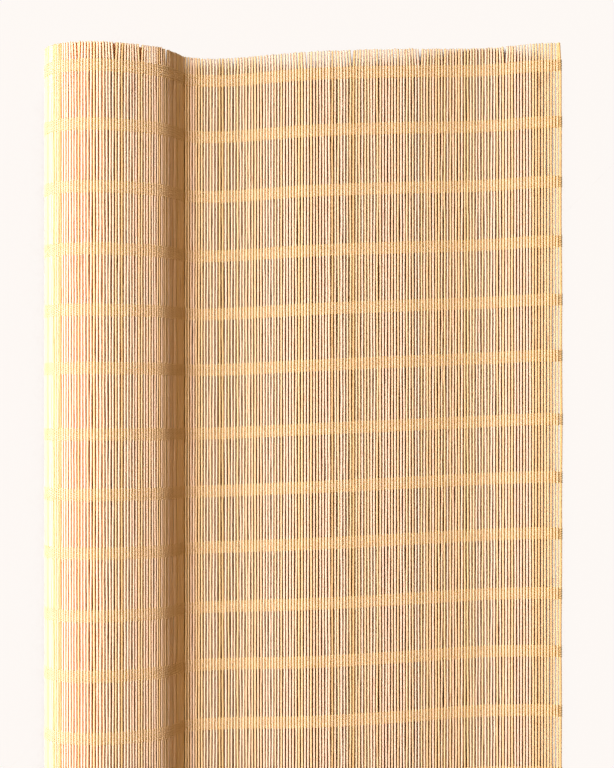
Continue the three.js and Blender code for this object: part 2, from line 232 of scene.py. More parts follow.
@dataclass(frozen=True)
class SpunCotton:
    """Cotton yarn, spun and undyed. Cream and matt where it stands over a stick, and golden where it dives between two,
    which is painted shade.
    """

    name: str = "spun_cotton"
    crest: str = "#f7e3c4"
    valley: str = "#c0a044"
    roughness: float = 0.85
    twist_mm: float = 0.7

    def build(self) -> bpy.types.Material:
        """Makes the material.

        Returns:
            The yarn material, which reads the yarn's depth in the weave and its own tone.
        """
        material, tree = new_tree(self.name)
        grain = add_node(tree, "Attribute", attribute_name="grain").outputs["Vector"]
        tone, depth = (
            add_node(tree, "Attribute", attribute_name=name).outputs["Fac"] for name in ("tone", "depth")
        )
        twist = add_node(tree, "TexNoise", {"Vector": grain, "Scale": 1000.0 / self.twist_mm, "Detail": 2.0})
        # painted shade: the deeper the yarn dives between two sticks, the more of the golden valley colour
        body = mix(tree, spread(tree, depth, 0.05, 0.34), linear(self.crest), linear(self.valley))
        body = mix(tree, spread(tree, tone, 0.5, 1.0, 0.15), body, linear(self.valley))
        body = mix(tree, spread(tree, twist.outputs["Fac"], 0.5, 0.85, 0.2), body, linear(self.valley))
        bump = add_node(tree, "Bump", {"Height": twist.outputs["Fac"], "Strength": 0.6, "Distance": 0.1 * MM})
        shader = add_node(tree, "BsdfPrincipled", {
            "Base Color": body, "Roughness": self.roughness, "IOR": 1.47, "Specular IOR Level": 0.2,
            "Normal": bump.outputs[0],
        })
        add_node(tree, "OutputMaterial", {"Surface": shader.outputs[0]})
        return material


@dataclass(frozen=True)
class BareMetal:
    """A bare metal with a fine tooled or plated grain, which breaks its shine up a little."""

    name: str
    colour: str
    worn: str
    roughness: float
    grain_mm: float
    grain_stretch: tuple[float, float, float] = (1.0, 1.0, 1.0)
    worn_per_m: float = 90.0  # worn and clean places are about 11 mm across

    def build(self) -> bpy.types.Material:
        """Makes the material.

        Returns:
            The metal material.
        """
        material, tree = new_tree(self.name)
        place = add_node(tree, "TexCoord").outputs["Object"]
        along = add_node(tree, "Mapping", {"Vector": place, "Scale": self.grain_stretch}).outputs[0]
        fine = add_node(tree, "TexNoise", {"Vector": along, "Scale": 1000.0 / self.grain_mm, "Detail": 3.0})
        broad = add_node(tree, "TexNoise", {"Vector": place, "Scale": self.worn_per_m, "Detail": 2.0})
        body = mix(tree, spread(tree, broad.outputs["Fac"], 0.4, 0.7, 0.6), linear(self.colour), linear(self.worn))
        rough = add_node(tree, "MapRange", {
            "Value": fine.outputs["Fac"], "From Min": 0.3, "From Max": 0.7,
            "To Min": self.roughness - 0.08, "To Max": self.roughness + 0.1,
        })
        bump = add_node(tree, "Bump", {"Height": fine.outputs["Fac"], "Strength": 0.25, "Distance": 0.05 * MM})
        shader = add_node(tree, "BsdfPrincipled", {
            "Base Color": body, "Metallic": 1.0, "Roughness": rough.outputs[0], "Normal": bump.outputs[0],
        })
        add_node(tree, "OutputMaterial", {"Surface": shader.outputs[0]})
        return material


@dataclass(frozen=True)
class MouldedNylon:
    """Natural nylon, injection moulded. Milky off-white with a fine spark texture and a soft shine."""

    name: str = "moulded_nylon"
    colour: str = "#e9e5d8"
    shade: str = "#d9d3c0"
    roughness: float = 0.42
    spark_mm: float = 0.3
    clouds_per_m: float = 120.0  # its milky clouds are about 8 mm across

    def build(self) -> bpy.types.Material:
        """Makes the material.

        Returns:
            The nylon material.
        """
        material, tree = new_tree(self.name)
        place = add_node(tree, "TexCoord").outputs["Object"]
        spark = add_node(tree, "TexNoise", {"Vector": place, "Scale": 1000.0 / self.spark_mm, "Detail": 2.0})
        cloud = add_node(tree, "TexNoise", {"Vector": place, "Scale": self.clouds_per_m, "Detail": 1.0})
        body = mix(tree, spread(tree, cloud.outputs["Fac"], 0.4, 0.7, 0.7), linear(self.colour), linear(self.shade))
        bump = add_node(tree, "Bump", {"Height": spark.outputs["Fac"], "Strength": 0.2, "Distance": 0.05 * MM})
        shader = add_node(tree, "BsdfPrincipled", {
            "Base Color": body, "Roughness": self.roughness, "IOR": 1.53, "Normal": bump.outputs[0],
        })
        add_node(tree, "OutputMaterial", {"Surface": shader.outputs[0]})
        return material


@dataclass(frozen=True)
class FloorBoard:
    """Matt white board. It glows evenly where it is open, as an overlit studio floor does. Wherever the blind closes it
    in, a painted shadow turns its glow off and leaves a warm brown board, painted shade, lit only by light through the
    reeds."""

    name: str = "floor_board"
    lit: str = "#fffbf8"
    shaded: str = "#8a6a4a"
    glow: float = 0.97
    brightness: float = 1.01
    reach: float = 160 * MM  # how far off the blind still casts its painted shadow on the board's glow
    shut: float = 0.38  # the openness at and below which the board doesn't glow
    clear: float = 0.5  # the openness from which it glows fully
    rays: int = 12

    def build(self) -> bpy.types.Material:
        """Makes the material.

        Returns:
            The board's material.
        """
        material, tree = new_tree(self.name)
        # painted shadow: the glow fades with ambient occlusion, and a warm brown diffuse, painted shade, takes its
        # place
        openness = add_node(tree, "AmbientOcclusion", {"Distance": self.reach}, samples=self.rays).outputs["AO"]
        share = add_node(tree, "MapRange", {
            "Value": openness, "From Min": self.shut, "From Max": self.clear, "To Min": 0.0, "To Max": self.glow,
        }).outputs[0]
        plain = add_node(tree, "BsdfDiffuse", {"Color": linear(self.shaded)})
        lit = add_node(tree, "Emission", {"Color": linear(self.lit), "Strength": self.brightness})
        surface = add_node(tree, "MixShader", {0: share, 1: plain.outputs[0], 2: lit.outputs[0]})
        add_node(tree, "OutputMaterial", {"Surface": surface.outputs[0]})
        return material


class Side(Enum):
    """Which end of the roll a fitting is on."""

    SPRING = -1
    IDLER = 1


@dataclass
class MeshDraft:
    """Points, faces and per-point values that become one object."""

    points: list[np.ndarray] = field(default_factory=list)
    faces: list[np.ndarray] = field(default_factory=list)
    smooth: list[np.ndarray] = field(default_factory=list)
    values: dict[str, list[np.ndarray]] = field(default_factory=dict)
    count: int = 0

    def add(self, points: np.ndarray, faces: Sequence[tuple[np.ndarray, bool]], **values: np.ndarray) -> None:
        """Adds one closed shape.

        Args:
            points: Its points, one row each.
            faces: Arrays of corner numbers, one row for each face, with whether they are smooth.
            values: Attribute values, one row for each point.
        """
        self.points.append(points)
        for corners, is_smooth in faces:
            self.faces.append(corners + self.count)
            self.smooth.append(np.full(len(corners), is_smooth))
        for name, value in values.items():
            self.values.setdefault(name, []).append(value)
        self.count += len(points)

    def build(self, name: str, material: bpy.types.Material) -> bpy.types.Object:
        """Makes the object.

        Args:
            name: The object's name.
            material: Its material.

        Returns:
            The object, at the origin, with its place in its mesh.
        """
        mesh = bpy.data.meshes.new(name)
        points = np.concatenate(self.points)
        sizes = np.concatenate([np.full(len(f), f.shape[1]) for f in self.faces])
        corners = np.concatenate([f.ravel() for f in self.faces])
        starts = np.concatenate([[0], np.cumsum(sizes)[:-1]])
        mesh.vertices.add(len(points))
        mesh.vertices.foreach_set("co", points.astype(np.float32).ravel())
        mesh.loops.add(len(corners))
        mesh.loops.foreach_set("vertex_index", corners.astype(np.int32))
        mesh.polygons.add(len(sizes))
        mesh.polygons.foreach_set("loop_start", starts.astype(np.int32))
        mesh.polygons.foreach_set("use_smooth", np.concatenate(self.smooth))
        for attribute, rows in self.values.items():
            data = np.concatenate(rows).astype(np.float32)
            kind, slot = ("FLOAT_VECTOR", "vector") if data.ndim == 2 else ("FLOAT", "value")
            mesh.attributes.new(attribute, kind, "POINT").data.foreach_set(slot, data.ravel())
        mesh.update(calc_edges=True)
        mesh.materials.append(material)
        made = bpy.data.objects.new(name, mesh)
        bpy.context.scene.collection.objects.link(made)
        return made


def ring_points(radii: np.ndarray, along: np.ndarray, centre: np.ndarray, sides: int) -> np.ndarray:
    """Points round an axis that runs across the sheet.

    Args:
        radii: Each ring's radius.
        along: Each ring's place along the axis.
        centre: A point on the axis.
        sides: How many points each ring has.

    Returns:
        The points, ring by ring.
    """
    turn = np.arange(sides) * 2 * math.pi / sides
    x = centre[0] + radii[:, None] * np.cos(turn)
    z = centre[2] + radii[:, None] * np.sin(turn)
    return np.stack([x, np.broadcast_to(along[:, None], x.shape), z], axis=-1).reshape(-1, 3)


def eased(profile: Sequence[tuple[float, float]], ease: float, closed: bool) -> np.ndarray:
    """Rounds a profile's corners.

    Args:
        profile: The profile's corners, as radius and place along the axis.
        ease: How far back from a corner its rounding starts.
        closed: Whether the profile comes back to its start.

    Returns:
        The profile with three points for each rounded corner.
    """
    corners = [np.array(corner, float) for corner in profile]
    rounded = []
    for i, corner in enumerate(corners):
        if not closed and i in (0, len(corners) - 1):
            rounded.append(corner)
            continue
        before, after = corners[i - 1] - corner, corners[(i + 1) % len(corners)] - corner
        reach = min(ease, np.linalg.norm(before) / 2.5, np.linalg.norm(after) / 2.5)
        first, last = (corner + way / np.linalg.norm(way) * reach for way in (before, after))
        rounded += [first, (first + last) / 4 + corner / 2, last]
    return np.array(rounded)


def tube_faces(rings: int, sides: int) -> list[tuple[np.ndarray, bool]]:
    """Faces of a closed tube whose points go round each ring in turn.

    Args:
        rings: How many rings of points it has.
        sides: How many points each ring has.

    Returns:
        Its side faces, smooth, and its two end faces, flat.
    """
    ring, side = np.meshgrid(np.arange(rings - 1), np.arange(sides), indexing="ij")
    start = (ring * sides + side).ravel()
    after = (ring * sides + (side + 1) % sides).ravel()
    walls = np.stack([start, after, after + sides, start + sides], axis=1)
    first = np.arange(sides)[::-1][None, :]
    last = ((rings - 1) * sides + np.arange(sides))[None, :]
    return [(walls, True), (first, False), (last, False)]


@dataclass
class SheetLine:
    """The sheet's middle line, seen from the side: wound round the tube, then over the roll and along the floor.
    Distances run along the sheet from where it leaves the roll, and are negative on the roll."""

    hinges: np.ndarray
    end: np.ndarray
    centre: np.ndarray
    floor_clearance: float = 1.1 * MM
    settling: float = 0.8 * MM  # how softly the line comes down onto the floor
    fold: int = 4
    fold_in: float = math.radians(-84)
    fold_out: float = math.radians(-36)

    @classmethod
    def from_frame(cls) -> "SheetLine":
        """Reads the line off the CAD part's joints and nodes.

        Returns:
            The line.
        """
        joints = [j for j in frame["joints"] if j["name"].startswith("sheet_bend")]
        hinges = np.array([j["pos_m"] for j in sorted(joints, key=lambda j: j["name"])], float)
        low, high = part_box("end_stick")
        end = np.array((low + high) / 2, float)
        low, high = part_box("roller_tube")
        return cls(hinges, end, np.array((low + high) / 2, float))

    def __post_init__(self) -> None:
        """Works out the knots that the free part runs through."""
        last = self.hinges[-1]
        step = (self.end - last)[[0, 2]]
        tip = np.array([last[0], self.end[1], last[2]])
        tip[[0, 2]] += step / np.linalg.norm(step) * STRIP_LENGTH
        self.knots = np.vstack([self.hinges, tip])
        arm = (self.hinges[0] - self.centre)[[0, 2]]
        self.radius = float(np.linalg.norm(arm))
        self.angle = math.atan2(arm[1], arm[0])
        before = self.wound(np.array([-STRIP_LENGTH]))[0][0]
        ahead = np.vstack([self.knots[1:], 2 * self.knots[-1] - self.knots[-2]])
        behind = np.vstack([before, self.knots[:-1]])
        self.pulls_out = (ahead - behind) / 2
        self.pulls_in = self.pulls_out.copy()
        for pulls, slope in ((self.pulls_in, self.fold_in), (self.pulls_out, self.fold_out)):
            pulls[self.fold] = np.array([math.cos(slope), 0, math.sin(slope)]) * STRIP_LENGTH

    def wound(self, distance: np.ndarray) -> tuple[np.ndarray, np.ndarray]:
        """Places on the wound part.

        Args:
            distance: Distances along the sheet, all at or below 0.

        Returns:
            The places, and the directions in which the sheet unrolls there.
        """
        back = -distance
        turned = self.radius - np.sqrt(np.maximum(self.radius**2 - WIND_PITCH * back / math.pi, 0))
        turned *= 2 * math.pi / WIND_PITCH
        reach, angle = self.radius - WIND_PITCH * turned / (2 * math.pi), self.angle + turned
        zero = np.zeros_like(angle)
        place = np.stack([np.cos(angle) * reach, zero, np.sin(angle) * reach], axis=1) + self.centre
        return place, np.stack([np.sin(angle), zero, -np.cos(angle)], axis=1)

    def free(self, distance: np.ndarray) -> tuple[np.ndarray, np.ndarray]:
        """Places on the free part.

        Args:
            distance: Distances along the sheet, all at or above 0.

        Returns:
            The places, and the directions in which the sheet runs there.
        """
        spans = distance / STRIP_LENGTH
        k = np.clip(np.floor(spans).astype(int), 0, len(self.knots) - 2)
        t = (spans - k)[:, None]
        a, b, pull_a, pull_b = self.knots[k], self.knots[k + 1], self.pulls_out[k], self.pulls_in[k + 1]
        place = (2 * t**3 - 3 * t**2 + 1) * a + (t**3 - 2 * t**2 + t) * pull_a
        place += (3 * t**2 - 2 * t**3) * b + (t**3 - t**2) * pull_b
        run = (6 * t**2 - 6 * t) * (a - b) + (3 * t**2 - 4 * t + 1) * pull_a + (3 * t**2 - 2 * t) * pull_b
        over = place[:, 2] - self.floor_clearance
        place[:, 2] = self.floor_clearance + (over + np.sqrt(over**2 + self.settling**2)) / 2
        run[:, 1] = 0
        return place, run / np.linalg.norm(run, axis=1)[:, None]

    def at(self, distance: np.ndarray) -> tuple[np.ndarray, np.ndarray, np.ndarray]:
        """Places anywhere on the sheet.

        Args:
            distance: Distances along the sheet.

        Returns:
            The places, the directions in which the sheet runs, and the directions out of its upper face.
        """
        back, back_run = self.wound(np.minimum(distance, 0))
        ahead, ahead_run = self.free(np.maximum(distance, 0))
        on_roll = (distance < 0)[:, None]
        place, run = np.where(on_roll, back, ahead), np.where(on_roll, back_run, ahead_run)
        return place, run, np.stack([-run[:, 2], np.zeros(len(run)), run[:, 0]], axis=1)


@dataclass
class StickStock:
    """Every stick of the sheet, each with its own thickness, tone, bow and lean, numbered from the tube outwards."""

    wound: int
    free: int
    seed: int = 17
    widths: tuple[float, float] = (0.85, 0.98)
    flatnesses: tuple[float, float] = (0.84, 1.0)
    roll_limit: float = 0.5
    bow: float = 0.11 * MM
    bow_shares: tuple[float, ...] = (0.7, 0.6, 0.45, 0.35)  # from the longest bow along a stick to the shortest
    tip_scatter: float = 0.16 * MM
    splay: float = 1.1 * MM
    split_gaps: tuple[int, int] = (9, 34)  # how many sticks lie between two places where the ends splay apart
    split_reaches: tuple[int, int] = (3, 7)
    tan_tones: tuple[float, float] = (0.75, 1.0)
    tan_reeds: int = 9  # the last reeds before the end stick, all of them tan
    wound_share: float = 1.06  # the reeds on the roll are drawn this much thicker, which closes the gaps between them

    def __post_init__(self) -> None:
        """Draws the sticks' own values."""
        rng = np.random.default_rng(self.seed)
        n = self.wound + self.free
        self.distance = (np.arange(n) - self.wound + 0.5) * STICK_PITCH
        self.tone = rng.random(n) ** 1.6
        self.tone[-self.tan_reeds:] = rng.uniform(*self.tan_tones, self.tan_reeds)
        self.width = STICK_DIAMETER / 2 * rng.uniform(*self.widths, n)
        self.width[:self.wound] *= self.wound_share
        self.flatness = rng.uniform(*self.flatnesses, n)
        self.roll = rng.uniform(-self.roll_limit, self.roll_limit, n)
        self.waves = rng.normal(0, 1, (n, len(self.bow_shares))) * self.bow * np.array(self.bow_shares)
        self.phases = rng.uniform(0, 2 * math.pi, (n, len(self.bow_shares)))
        self.tips = rng.normal(0, 1, (n, 2)) * self.tip_scatter
        self.lean = np.zeros((n, 2))
        for end in (0, 1):
            split = 0
            while split < n:
                split += int(rng.integers(*self.split_gaps))
                reach, push = int(rng.integers(*self.split_reaches)), self.splay * rng.uniform(0.15, 1.0)
                for j in range(reach):
                    for number, way in ((split + j, 1), (split - 1 - j, -1)):
                        if 0 <= number < n:
                            self.lean[number, end] = way * push * (1 - j / reach)


def band_places() -> np.ndarray:
    """Where the bands of thread cross the sticks.

    Returns:
        Their middles across the sheet, from the idler end down, measured from the sheet's middle.
    """
    return SHEET_WIDTH / 2 - BAND_MARGIN - np.concatenate([[0.0], np.cumsum(BAND_STEPS)])


@dataclass
class StickRun:
    """Sticks side by side, as one mesh."""

    line: SheetLine
    stock: StickStock
    stations: int = 49
    sides: int = 8
    # painted shade: how strongly a stick's underside is darkened
    painted_shade_scale: float = 1.0
    # painted bounce light: how far the gaps' side colour gives way to the warm bounce colour
    backed: float = 0.0
    cut: float = 0.25 * MM  # how far in from its cut end a stick starts to thin
    end: float = 1.2 * MM  # where its evenly spaced stations start
    cut_depth: float = 0.26  # the most painted shade the cut end gets, kept low so that it stays pale, a painted highlight where it catches the light
    tip_reach: float = 20 * MM
    splay_power: float = 1.4

    def draw(self, draft: MeshDraft, numbers: Sequence[int]) -> None:
        """Adds some sticks to a mesh.

        Args:
            draft: The mesh to add to.
            numbers: The sticks' numbers in the stock.
        """
        half = SHEET_WIDTH / 2
        inner = np.linspace(-half + self.end, half - self.end, self.stations)
        across = np.concatenate([[-half, -half + self.cut], inner, [half - self.cut, half]])
        girth = np.ones(len(across))
        girth[[0, -1]], girth[[1, -2]] = 0.72, 0.95
        turn = np.arange(self.sides) * 2 * math.pi / self.sides
        faces = tube_faces(len(across), self.sides)
        places, runs, ups = self.line.at(self.stock.distance[list(numbers)])
        bands = band_places()
        round_sheet = across * 2 * math.pi / SHEET_WIDTH
        reach = np.clip((across - bands[0]) / (half - bands[0]), 0, None) ** self.splay_power
        tail = np.clip((bands[-1] - across) / (half + bands[-1]), 0, None) ** self.splay_power
        ends = [-half, -half + self.tip_reach, half - self.tip_reach, half]
        stock = self.stock
        for i, number in enumerate(numbers):
            waves, phases, tips = stock.waves[number], stock.phases[number], stock.tips[number]
            bows = sum(waves[w] * np.sin(round_sheet * (4 + 5 * w) + phases[w]) for w in range(len(waves)))
            sideways = bows + stock.lean[number, 1] * reach + stock.lean[number, 0] * tail
            length = np.interp(across, ends, [tips[0], 0, 0, tips[1]])
            angle = turn[None, :] + stock.roll[number]
            radius = stock.width[number] * girth[:, None] * (1 + 0.03 * np.sin(3 * angle + phases[0]))
            level, height = np.cos(angle) * radius, np.sin(angle) * radius * stock.flatness[number]
            points = places[i] + (sideways[:, None] + level)[..., None] * runs[i] + height[..., None] * ups[i]
            points[..., 1] += (across + length)[:, None]
            # painted shade: depth runs from 0 on a stick's top to 1 on its underside, and the reed material darkens its
            # flanks by it
            depth = self.painted_shade_scale * np.clip(0.5 - 0.5 * height / stock.width[number], 0, 1)
            depth[[0, -1]] = np.minimum(depth[[0, -1]], self.cut_depth)
            along = np.broadcast_to(across[:, None], level.shape)
            grain = np.stack([level + number * GRAIN_STEP, along, height], axis=-1)
            draft.add(
                points.reshape(-1, 3), faces, depth=depth.ravel(), grain=grain.reshape(-1, 3),
                tone=np.full(depth.size, stock.tone[number]), backed=np.full(depth.size, self.backed),
            )


@dataclass
class ThreadRun:
    """The threads of every band over a stretch of the sheet, over one stick and under the next, as one mesh."""

    line: SheetLine
    sides: int = 4
    swing: float = STICK_DIAMETER * 0.47 + THREAD_THICKNESS * 0.5
    fullness: float = 0.7  # a square ring reaches this share of the thread's width out to each corner
    wander: float = 0.03 * MM
    arch: tuple[tuple[float, float], ...] = ((0, 0), (0.22, 0.74), (0.5, 1), (0.78, 0.74), (1, 0))
    seed: int = 5

    def draw(self, draft: MeshDraft, start: float, stop: float, bands: Sequence[int] = range(BAND_COUNT)) -> None:
        """Adds the threads to a mesh.

        Args:
            draft: The mesh to add to.
            start: Where the stretch starts along the sheet, halfway between two sticks.
            stop: Where it ends, halfway between two sticks.
            bands: The numbers of the bands to add.
        """
        first, last = round(start / STICK_PITCH), round(stop / STICK_PITCH)
        stations, heights = np.array(self.arch, float).T
        steps = np.concatenate([(np.arange(first, last)[:, None] + stations[:-1]).ravel(), [last]])
        stick = np.floor(steps + 1e-6)
        arch = np.interp(steps - stick, stations, heights) * np.where(stick % 2 == 0, 1, -1)
        places, runs, ups = self.line.at(steps * STICK_PITCH)
        turn = np.arange(self.sides) * 2 * math.pi / self.sides + math.pi / 4
        faces = tube_faces(len(steps), self.sides)
        rng = np.random.default_rng(self.seed)
        spacing = BAND_WIDTH / THREADS_PER_BAND
        tones = rng.random((BAND_COUNT, THREADS_PER_BAND))
        shifts = rng.normal(0, self.wander, (BAND_COUNT, THREADS_PER_BAND))
        for number in bands:
            band = band_places()[number]
            for thread in range(THREADS_PER_BAND):
                side = 1 if thread % 2 == 0 else -1
                height = arch * self.swing * side
                slope = np.gradient(height, steps * STICK_PITCH)
                lean = 1 / np.sqrt(1 + slope**2)
                normal = ups * lean[:, None] - runs * (slope * lean)[:, None]
                across = band + (thread - (THREADS_PER_BAND - 1) / 2) * spacing + shifts[number, thread]
                wide = np.cos(turn) * THREAD_WIDTH * self.fullness
                thick = np.sin(turn) * THREAD_THICKNESS * self.fullness
                points = (places + ups * height[:, None])[:, None, :] + thick[None, :, None] * normal[:, None, :]
                points[..., 1] += across + wide[None, :]
                # painted shade: depth runs from 0 where the yarn crests over a stick to 1 where it dives under, and the
                # yarn darkens by it
                depth = np.repeat(0.5 - 0.5 * height / self.swing, self.sides)
                draft.add(
                    points.reshape(-1, 3), faces, depth=depth, grain=(points + band).reshape(-1, 3),
                    tone=np.full(len(depth), tones[number, thread]),
                )


@dataclass
class Cloth:
    """The woven sheet: one fine piece from the middle of each strip to the next, and one on the roll."""

    line: SheetLine
    reed: bpy.types.Material
    cotton: bpy.types.Material
    strips: int = 20
    tail: int = 5
    end_allowance: float = 2.4 * MM  # the part of the drop that the end stick takes up
    thread_parts: int = 5
    hidden_stations: int = 5
    hidden_painted_shade_scale: float = 0.45
    hidden_painted_bounce: float = 0.4

    def __post_init__(self) -> None:
        """Counts the sticks."""
        self.free = self.strips * STICKS_PER_STRIP
        self.wound = round((SHEET_DROP - self.end_allowance) / STICK_PITCH) - self.free
        self.stock = StickStock(self.wound, self.free)

    def span(self, name: str, first: int, last: int) -> list[bpy.types.Object]:
        """Builds the sticks and threads of a stretch.

        Args:
            name: The stretch's name.
            first: The number of its first stick, counted from where the sheet leaves the roll.
            last: The number after its last stick.

        Returns:
            The sticks' object and the threads' object.
        """
        sticks, threads = MeshDraft(), MeshDraft()
        StickRun(self.line, self.stock).draw(sticks, range(self.wound + first, self.wound + last))
        ThreadRun(self.line).draw(threads, first * STICK_PITCH, last * STICK_PITCH)
        pair = [sticks.build(name + "_sticks", self.reed), threads.build(name + "_threads", self.cotton)]
        return pair

    def build_free(self) -> None:
        """Builds the stretches off the roll in place, with the tail riding on the last strip."""
        half = STICKS_PER_STRIP // 2
        edges = np.arange(self.strips + 1) * STICKS_PER_STRIP - half
        edges[-1] = self.free - self.tail
        middles = self.line.at(edges * STICK_PITCH)[0]
        middles[:, 1] = 0
        for k in range(1, self.strips + 1):
            pair = self.span(f"sheet_span_{k:02d}", int(edges[k - 1]), int(edges[k]))
            for piece in pair:
                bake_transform(piece)
            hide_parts(f"sheet_strip_{k:02d}")
        pair = self.span("sheet_tail", self.free - self.tail, self.free)
        for piece in pair:
            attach(piece, f"sheet_strip_{self.strips:02d}")
        log.info("free sheet: %d sticks in %d stretches", self.free, self.strips + 1)

    def build_wound(self) -> None:
        """Builds the wound part: its outer turns fine, the hidden ones plain."""
        half = STICKS_PER_STRIP // 2
        outer = round(2 * math.pi * self.line.radius / STICK_PITCH) + 2
        sticks = MeshDraft()
        StickRun(self.line, self.stock, backed=1.0).draw(sticks, range(self.wound - outer, self.wound - half))
        StickRun(
            self.line, self.stock, stations=self.hidden_stations, painted_shade_scale=self.hidden_painted_shade_scale, backed=self.hidden_painted_bounce,
        ).draw(sticks, range(0, self.wound - outer))
        roll = sticks.build("wound_sheet_sticks", self.reed)
        bound = []
        for part, bands in enumerate(np.array_split(np.arange(BAND_COUNT), self.thread_parts), 1):
            threads = MeshDraft()
            ThreadRun(self.line).draw(threads, -outer * STICK_PITCH, -half * STICK_PITCH, bands.tolist())
            bound.append(threads.build(f"wound_sheet_threads_{part}", self.cotton))
        for piece in (roll, *bound):
            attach(piece, "roll")
        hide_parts("wound_sheet")
        log.info("wound sheet: %d sticks, %d of them on the outer turn", self.wound - half, outer - half)


@dataclass
class EndStick:
    """The thicker stick at the free end, with yarn turned round it where each band ends."""

    reed: bpy.types.Material
    yarn: bpy.types.Material
    diameter: float = 2.0 * MM
    turns: int = 6
    sides: int = 12
    stations: int = 81
    yarn_sides: int = 5
    yarn_stations: int = 14
    cut: float = 0.3 * MM
    end: float = 1.2 * MM
    lean: float = 1.3 * MM  # how far its idler end leans towards the roll
    lean_reach: float = 22 * MM
    bows: tuple[float, float] = (0.25 * MM, 0.12 * MM)
    unevenness: float = 0.02
    body: str = "sheet_strip_20"
    seed: int = 23

    def build(self) -> None:
        """Builds the stick and its turns of yarn."""
        low, high = (np.array(corner, float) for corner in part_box("end_stick"))
        centre, radius = (low + high) / 2, self.diameter / 2
        half = (high[1] - low[1]) / 2
        rng = np.random.default_rng(self.seed)
        inner = np.linspace(-half + self.end, half - self.end, self.stations)
        across = np.concatenate([[-half, -half + self.cut], inner, [half - self.cut, half]])
        girth = np.concatenate([[0.7, 0.94], 1 + rng.normal(0, self.unevenness, self.stations), [0.94, 0.7]])
        points = ring_points(radius * girth, across + centre[1], centre, self.sides)
        sideways = self.bows[0] * np.sin(across * 17 + 1.0) + self.bows[1] * np.sin(across * 63)
        sideways -= self.lean * np.clip((across - half + self.lean_reach) / self.lean_reach, 0, None) ** 1.2
        points[:, 0] += np.repeat(sideways, self.sides)
        height = (points[:, 2] - centre[2]) / radius
        grain = np.stack([points[:, 0] - centre[0], points[:, 1], points[:, 2] - centre[2]], axis=1)
        stick = MeshDraft()
        # painted shade: depth rises towards the stick's underside, where the reed material darkens it a little
        stick.add(
            points, tube_faces(len(across), self.sides), depth=0.12 - 0.12 * height, grain=grain,
            tone=np.full(len(points), 0.4), backed=np.zeros(len(points)),
        )
        yarn = MeshDraft()
        for band in band_places():
            steps = np.linspace(0, 1, self.turns * self.yarn_stations + 1)
            angle = steps * self.turns * 2 * math.pi
            lift = radius + THREAD_THICKNESS / 2
            out = np.stack([np.cos(angle), np.zeros_like(angle), np.sin(angle)], axis=1)
            path = centre + out * lift
            path[:, 0] += np.interp(band, across, sideways)
            path[:, 1] += band + (steps - 0.5) * BAND_WIDTH * 0.9
            turn = np.arange(self.yarn_sides) * 2 * math.pi / self.yarn_sides
            points = path[:, None, :] + out[:, None, :] * (np.sin(turn) * THREAD_THICKNESS / 2)[None, :, None]
            points[..., 1] += np.cos(turn) * THREAD_WIDTH / 2
            rows = points.reshape(-1, 3)
            yarn.add(
                rows, tube_faces(len(steps), self.yarn_sides), depth=np.full(len(rows), 0.2), grain=rows,
                tone=np.full(len(rows), rng.random()),
            )
        piece, turns = stick.build("end_stick_reed", self.reed), yarn.build("end_stick_yarn", self.yarn)
        for part in (piece, turns):
            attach(part, self.body)
        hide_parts("end_stick")
        log.info("end stick: %d turns of yarn at each band", self.turns)


